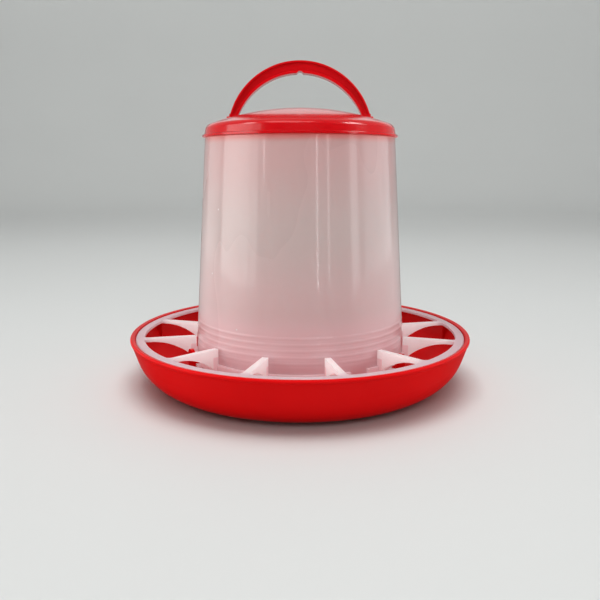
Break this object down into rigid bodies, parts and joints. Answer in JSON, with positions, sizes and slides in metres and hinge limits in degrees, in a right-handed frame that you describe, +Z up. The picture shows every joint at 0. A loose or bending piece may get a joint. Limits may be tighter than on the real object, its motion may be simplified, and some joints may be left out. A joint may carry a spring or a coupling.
{
  "type": "hanging poultry feeder",
  "caption": "Round poultry feeder: shallow red pan with a white finned anti-waste grille, tapered milky feed barrel, domed red lid and arched carry bail.",
  "frame": {"origin": "on the feeder's axis, at the underside of the pan", "axes": "+Z up along the axis; X through the two feet of the bail; -Y is the front"},
  "size_m": [0.2402, 0.2402, 0.2212],
  "materials": {
    "feed_pan": "glossy moulded, red",
    "feed_grille": "satin moulded, white",
    "feed_barrel": "glossy moulded, milky translucent",
    "lid": "glossy moulded, red",
    "carry_bail": "glossy moulded, red"
  },
  "bodies": {
    "pan": {"feed_pan": "feed_pan"},
    "grille": {"feed_grille": "feed_grille"},
    "barrel": {"feed_barrel": "feed_barrel"},
    "lid": {"lid": "lid"},
    "bail": {"carry_bail": "carry_bail"}
  },
  "joints": [
    {"name": "grille_turn", "type": "hinge", "parent": "pan", "child": "grille", "pos_m": [0, 0, 0.0195], "axis": [0, 0, 1], "range_deg": [-13, 6.5]},
    {"name": "barrel_turn", "type": "hinge", "parent": "grille", "child": "barrel", "pos_m": [0, 0, 0.023], "axis": [0, 0, 1], "range_deg": [-20.5, 0]},
    {"name": "lid_lift", "type": "slide", "parent": "barrel", "child": "lid", "axis": [0, 0, 1], "range_m": [0, 0.05]},
    {"name": "bail_swing", "type": "hinge", "parent": "lid", "child": "bail", "pos_m": [0, 0, 0.1835], "axis": [1, 0, 0], "range_deg": [-50, 50]}
  ]
}
